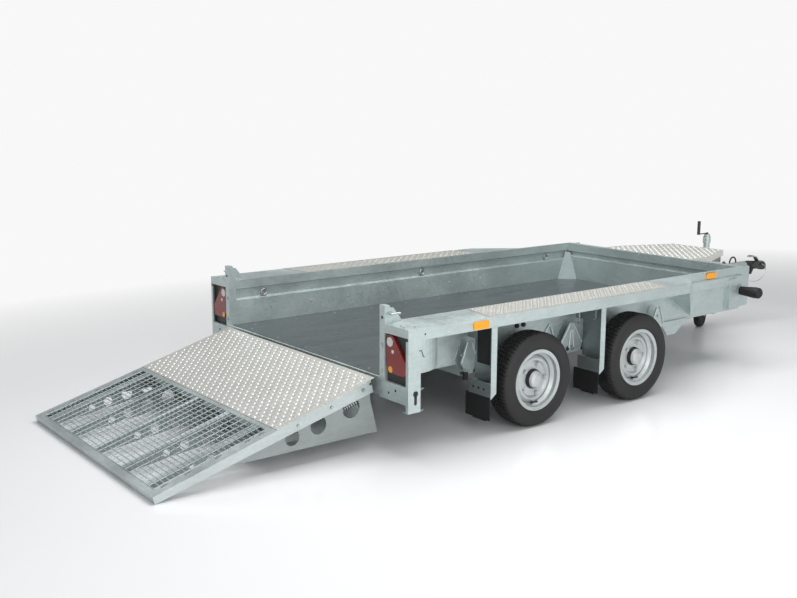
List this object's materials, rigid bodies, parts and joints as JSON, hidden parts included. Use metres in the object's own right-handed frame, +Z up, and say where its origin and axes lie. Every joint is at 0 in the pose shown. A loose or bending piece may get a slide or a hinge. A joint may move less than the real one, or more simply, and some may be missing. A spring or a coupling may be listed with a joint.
{
  "type": "plant trailer",
  "caption": "Galvanised twin-axle flatbed plant trailer with low sides, tread-covered running boards, a full-width tail ramp with ribs and mesh, drawbar, ball coupling and jockey wheel.",
  "frame": {"origin": "on the ground under the middle of the parked trailer's bounding box, with its ramp down", "axes": "+X forward to the coupling, +Y to the trailer's left, +Z up"},
  "size_m": [5.8221, 2.0166, 0.8453],
  "materials": {
    "galvanised": "satin",
    "tread_alloy": "satin",
    "deck_board": "satin",
    "tyre": "matte",
    "black_rubber": "matte",
    "black_plastic": "matte",
    "lamp_red": "gloss",
    "lamp_clear": "gloss",
    "lamp_amber": "gloss",
    "zinc": "satin",
    "black_metal": "satin"
  },
  "bodies": {
    "trailer": {"chassis_frame": "galvanised", "drawbar": "galvanised", "deck_floor": "deck_board", "side_wall_left": "galvanised", "side_wall_right": "galvanised", "headboard": "galvanised", "corner_gussets": "galvanised", "front_cheeks": "galvanised", "rear_frame": "galvanised", "ramp_latches": "zinc", "running_board_left": "galvanised", "running_board_right": "galvanised", "tread_covers": "tread_alloy", "mudguard_left": "galvanised", "mudguard_right": "galvanised", "rear_wings": "galvanised", "mud_flaps": "black_rubber", "lamp_panels": "black_plastic", "tail_lamps": "lamp_red", "reverse_lamps": "lamp_clear", "side_markers": "lamp_amber", "corner_lamps": "black_rubber", "bucket_rest": "tread_alloy", "jockey_tube": "galvanised", "jockey_crank": "black_metal", "coupling_housing": "galvanised", "bellows": "black_rubber", "coupling_head": "black_metal", "coupling_handle": "zinc", "handbrake_lever": "black_metal", "looped_cable": "black_rubber", "breakaway_cable": "zinc", "lashing_rings": "zinc", "rope_hooks": "galvanised", "axles": "galvanised", "leaf_springs": "black_metal", "spring_hangers": "galvanised", "hinge_pins": "zinc"},
    "ramp": {"ramp_frame": "galvanised", "ramp_tread": "tread_alloy", "ramp_mesh": "galvanised", "ramp_springs": "zinc"},
    "wheel_rear_left_body": {"wheel_rear_left": "galvanised", "tyre_rear_left": "tyre"},
    "wheel_rear_right_body": {"wheel_rear_right": "galvanised", "tyre_rear_right": "tyre"},
    "wheel_front_left_body": {"wheel_front_left": "galvanised", "tyre_front_left": "tyre"},
    "wheel_front_right_body": {"wheel_front_right": "galvanised", "tyre_front_right": "tyre"},
    "jockey_stem": {"jockey_leg": "galvanised"},
    "jockey_caster": {"jockey_fork": "galvanised"},
    "jockey_roller": {"jockey_wheel": "black_rubber"}
  },
  "joints": [
    {"name": "ramp_hinge", "type": "hinge", "parent": "trailer", "child": "ramp", "pos_m": [-1.72995, 0, 0.3496], "axis": [0, 1, 0], "range_deg": [0, 105.6]},
    {"name": "rear_left_spin", "type": "hinge", "parent": "trailer", "child": "wheel_rear_left_body", "pos_m": [-0.76995, 0.92, 0.261], "axis": [0, 1, 0], "continuous": true},
    {"name": "rear_right_spin", "type": "hinge", "parent": "trailer", "child": "wheel_rear_right_body", "pos_m": [-0.76995, -0.92, 0.261], "axis": [0, 1, 0], "continuous": true},
    {"name": "front_left_spin", "type": "hinge", "parent": "trailer", "child": "wheel_front_left_body", "pos_m": [0.07705, 0.92, 0.261], "axis": [0, 1, 0], "continuous": true},
    {"name": "front_right_spin", "type": "hinge", "parent": "trailer", "child": "wheel_front_right_body", "pos_m": [0.07705, -0.92, 0.261], "axis": [0, 1, 0], "continuous": true},
    {"name": "jockey_slide", "type": "slide", "parent": "trailer", "child": "jockey_stem", "axis": [0, 0, 1], "range_m": [0, 0.06]},
    {"name": "jockey_swivel", "type": "hinge", "parent": "jockey_stem", "child": "jockey_caster", "pos_m": [2.22705, 0.09, 0.225], "axis": [0, 0, 1], "continuous": true},
    {"name": "jockey_spin", "type": "hinge", "parent": "jockey_caster", "child": "jockey_roller", "pos_m": [2.16127, 0.06606, 0.1], "axis": [-0.342, 0.9397, 0], "continuous": true}
  ]
}
